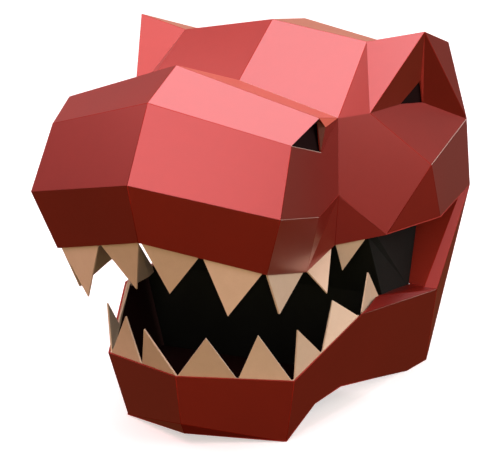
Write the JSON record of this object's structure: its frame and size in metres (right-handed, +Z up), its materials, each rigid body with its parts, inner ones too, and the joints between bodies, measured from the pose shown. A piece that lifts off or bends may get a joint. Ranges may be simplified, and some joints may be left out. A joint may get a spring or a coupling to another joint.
{
  "type": "dinosaur head mask",
  "caption": "Low-poly dinosaur head mask folded from card, with an open mouth edged by card teeth, a lined throat, brow horns and an open back for the wearer's head.",
  "frame": {"origin": "centre of the bounding box in plan, on the plane that the chin and the heels of the jaw stand on", "axes": "+Z up, -Y towards the nose, +X towards the animal's left"},
  "size_m": [0.312, 0.3526, 0.3312],
  "materials": {
    "red_card": "satin red card",
    "black_card": "matt black card",
    "cream_card": "matt cream card"
  },
  "bodies": {
    "root": {"snout": "red_card", "upper_lip": "red_card", "forehead": "red_card", "horn_left": "red_card", "horn_right": "red_card", "cheek_left": "red_card", "cheek_right": "red_card", "upright_left": "red_card", "upright_right": "red_card", "mouth_ledge_left": "red_card", "mouth_ledge_right": "red_card", "lower_jaw": "red_card", "jaw_base": "red_card", "mouth_lining": "black_card", "nostril_lining_left": "black_card", "nostril_lining_right": "black_card", "eye_lining_left": "black_card", "eye_lining_right": "black_card", "upper_teeth": "cream_card", "lower_teeth": "cream_card", "rear_tooth_left": "cream_card", "rear_tooth_right": "cream_card"}
  },
  "joints": []
}
